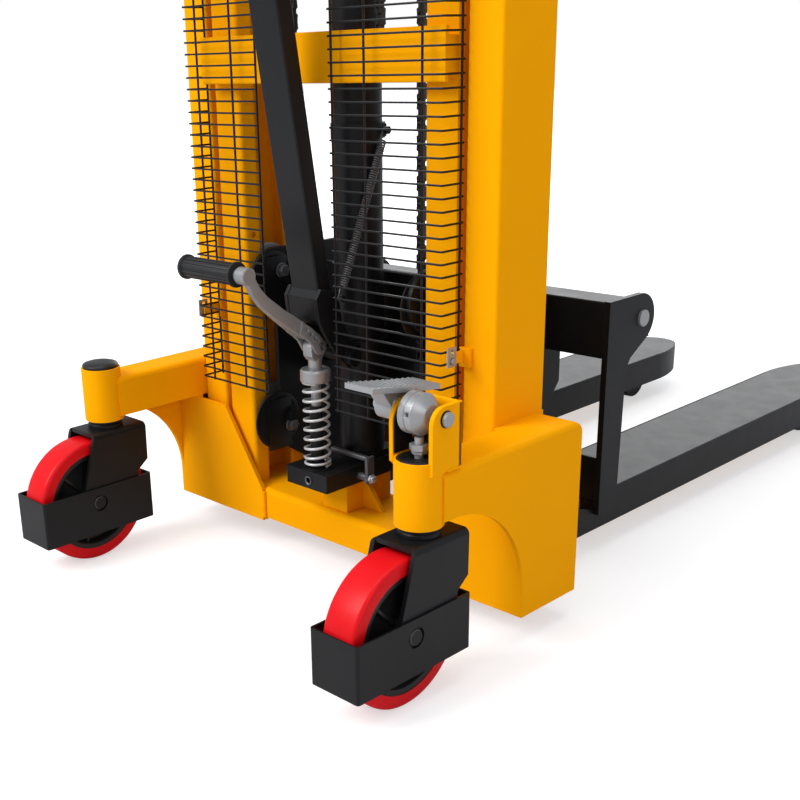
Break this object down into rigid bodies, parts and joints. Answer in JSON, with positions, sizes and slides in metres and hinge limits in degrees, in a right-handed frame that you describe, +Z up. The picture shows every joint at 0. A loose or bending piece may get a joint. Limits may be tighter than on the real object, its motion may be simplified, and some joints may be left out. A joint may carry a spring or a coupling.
{
  "type": "pallet stacker",
  "caption": "Hand-pumped pallet stacker: tall yellow twin-column mast, black lifting forks, straddle base on red swivelling wheels, foot lever and tiller pump.",
  "frame": {"origin": "on the floor, under the centre of the bounding box", "axes": "+X across the machine to the operator's right, +Y towards the fork tips, +Z up"},
  "size_m": [0.6892, 1.496, 2.06],
  "materials": {
    "yellow_paint": "glossy yellow powder coat",
    "black_paint": "satin black powder coat",
    "bare_steel": "zinc plated or turned steel",
    "dark_steel": "dark finished steel",
    "cast_alu": "satin cast aluminium",
    "red_tyre": "moulded red polyurethane",
    "black_plastic": "matt black plastic",
    "grip_rubber": "soft black rubber",
    "chain_steel": "oiled chain steel",
    "spring_wire": "light plated spring wire",
    "red_lever": "red lever"
  },
  "bodies": {
    "chassis": {"base_crossbeam": "yellow_paint", "side_frame_r": "yellow_paint", "side_frame_l": "yellow_paint", "caster_tubes": "yellow_paint", "leg_r": "yellow_paint", "leg_l": "yellow_paint", "mast_rail_r": "yellow_paint", "mast_rail_l": "yellow_paint", "mast_box_r": "yellow_paint", "mast_box_l": "yellow_paint", "mast_top_beam": "yellow_paint", "mast_tie": "yellow_paint", "pump_pedestal": "yellow_paint", "pump_block": "black_paint", "lift_cylinder": "black_paint", "cylinder_clamps": "black_paint", "plunger_spring": "spring_wire", "mesh_r": "black_paint", "mesh_l": "black_paint", "mesh_clips": "bare_steel", "chain_back": "chain_steel", "brake_bracket": "yellow_paint", "tube_caps": "black_plastic"},
    "caster_r": {"caster_fork_r": "black_paint", "foot_guard_r": "black_paint"},
    "caster_l": {"caster_fork_l": "black_paint", "foot_guard_l": "black_paint"},
    "wheel_r": {"wheel_hub_r": "black_plastic", "tyre_r": "red_tyre"},
    "wheel_l": {"wheel_hub_l": "black_plastic", "tyre_l": "red_tyre"},
    "load_roller_r": {"load_roller_r": "black_plastic"},
    "load_roller_l": {"load_roller_l": "black_plastic"},
    "ram": {"ram_rod": "bare_steel", "ram_yoke": "black_paint", "chain_top": "chain_steel", "chain_front": "chain_steel"},
    "sheave_r": {"sheave_r": "bare_steel"},
    "sheave_l": {"sheave_l": "bare_steel"},
    "carriage": {"carriage_frame": "black_paint", "fork_r": "black_paint", "fork_l": "black_paint", "fork_braces": "black_paint", "cross_beams": "black_paint", "fork_shaft": "bare_steel"},
    "roller_r1": {"roller_r1": "bare_steel"},
    "roller_r2": {"roller_r2": "bare_steel"},
    "roller_l1": {"roller_l1": "bare_steel"},
    "roller_l2": {"roller_l2": "bare_steel"},
    "rocker": {"rocker": "black_paint", "tiller_tube": "black_paint", "tiller_handle": "black_paint", "foot_lever": "cast_alu", "foot_grip": "grip_rubber"},
    "hand_lever": {"hand_lever": "red_lever"},
    "plunger": {"pump_plunger": "bare_steel"},
    "tiller_spring": {"tiller_spring": "dark_steel"},
    "release_lever": {"release_lever": "dark_steel"},
    "brake_pedal": {"brake_pedal": "cast_alu"},
    "brake_rod": {"brake_rod": "bare_steel"}
  },
  "joints": [
    {"name": "caster_swivel_r", "type": "hinge", "parent": "chassis", "child": "caster_r", "pos_m": [0.3075, -0.609, 0], "axis": [0, 0, 1], "continuous": true},
    {"name": "wheel_spin_r", "type": "hinge", "parent": "caster_r", "child": "wheel_r", "pos_m": [0.3075, -0.654, 0.09], "axis": [1, 0, 0], "continuous": true},
    {"name": "load_roller_spin_r", "type": "hinge", "parent": "chassis", "child": "load_roller_r", "pos_m": [0.179, 0.596, 0.037], "axis": [1, 0, 0], "continuous": true},
    {"name": "caster_swivel_l", "type": "hinge", "parent": "chassis", "child": "caster_l", "pos_m": [-0.3075, -0.609, 0], "axis": [0, 0, 1], "continuous": true},
    {"name": "wheel_spin_l", "type": "hinge", "parent": "caster_l", "child": "wheel_l", "pos_m": [-0.3075, -0.654, 0.09], "axis": [1, 0, 0], "continuous": true},
    {"name": "load_roller_spin_l", "type": "hinge", "parent": "chassis", "child": "load_roller_l", "pos_m": [-0.179, 0.596, 0.037], "axis": [1, 0, 0], "continuous": true},
    {"name": "ram_lift", "type": "slide", "parent": "chassis", "child": "ram", "axis": [0, 0, 1], "range_m": [0, 0.775], "deforming": ["chain_back"]},
    {"name": "sheave_spin_r", "type": "hinge", "parent": "ram", "child": "sheave_r", "pos_m": [0.077, -0.38, 1.095], "axis": [1, 0, 0], "range_deg": [0, 1170]},
    {"name": "sheave_spin_l", "type": "hinge", "parent": "ram", "child": "sheave_l", "pos_m": [-0.077, -0.38, 1.095], "axis": [1, 0, 0], "range_deg": [0, 1170]},
    {"name": "carriage_lift", "type": "slide", "parent": "ram", "child": "carriage", "axis": [0, 0, 1], "range_m": [0, 0.775], "deforming": ["chain_front"]},
    {"name": "roller_spin_r1", "type": "hinge", "parent": "carriage", "child": "roller_r1", "pos_m": [0.1905, -0.389, 0.19], "axis": [1, 0, 0], "continuous": true},
    {"name": "roller_spin_r2", "type": "hinge", "parent": "carriage", "child": "roller_r2", "pos_m": [0.1905, -0.389, 0.4], "axis": [1, 0, 0], "continuous": true},
    {"name": "roller_spin_l1", "type": "hinge", "parent": "carriage", "child": "roller_l1", "pos_m": [-0.1905, -0.389, 0.19], "axis": [1, 0, 0], "continuous": true},
    {"name": "roller_spin_l2", "type": "hinge", "parent": "carriage", "child": "roller_l2", "pos_m": [-0.1905, -0.389, 0.4], "axis": [1, 0, 0], "continuous": true},
    {"name": "tiller_pump", "type": "hinge", "parent": "chassis", "child": "rocker", "pos_m": [0, -0.431, 0.314], "axis": [1, 0, 0], "range_deg": [0, 38], "stiffness_Nm_per_rad": 45, "springref_deg": -12.03, "deforming": ["tiller_spring"]},
    {"name": "plunger_stroke", "type": "slide", "parent": "chassis", "child": "plunger", "axis": [0, 0, 1], "range_m": [-0.0275, 0], "deforming": ["plunger_spring"]},
    {"name": "tiller_spring_swing", "type": "hinge", "parent": "chassis", "child": "tiller_spring", "pos_m": [0.0385, -0.369, 0.604], "axis": [1, 0, 0], "range_deg": [-6.5, 0]},
    {"name": "hand_lever_squeeze", "type": "hinge", "parent": "rocker", "child": "hand_lever", "pos_m": [0, -0.60433, 1.1172], "axis": [1, 0, 0], "range_deg": [-15, 0], "stiffness_Nm_per_rad": 0.8, "springref_deg": 8.02},
    {"name": "release_lever_swing", "type": "hinge", "parent": "chassis", "child": "release_lever", "pos_m": [0.045, -0.429, 0.147], "axis": [1, 0, 0], "range_deg": [-6, 0], "stiffness_Nm_per_rad": 1, "springref_deg": 8.02},
    {"name": "brake_pedal_rock", "type": "hinge", "parent": "chassis", "child": "brake_pedal", "pos_m": [0.29, -0.599, 0.328], "axis": [1, 0, 0], "range_deg": [0, 30]},
    {"name": "brake_rod_push", "type": "slide", "parent": "chassis", "child": "brake_rod", "axis": [0, 0, 1], "range_m": [-0.0032, 0]}
  ],
  "couplings": [
    {"joint": "carriage_lift", "follows": "ram_lift", "ratio": 1},
    {"joint": "sheave_spin_r", "follows": "ram_lift", "rad_per_m": 26.316},
    {"joint": "sheave_spin_l", "follows": "ram_lift", "rad_per_m": 26.316},
    {"joint": "plunger_stroke", "follows": "tiller_pump", "m_per_rad": -0.0407},
    {"joint": "tiller_spring_swing", "follows": "tiller_pump", "ratio": -0.164},
    {"joint": "brake_rod_push", "follows": "brake_pedal_rock", "m_per_rad": -0.005932}
  ]
}
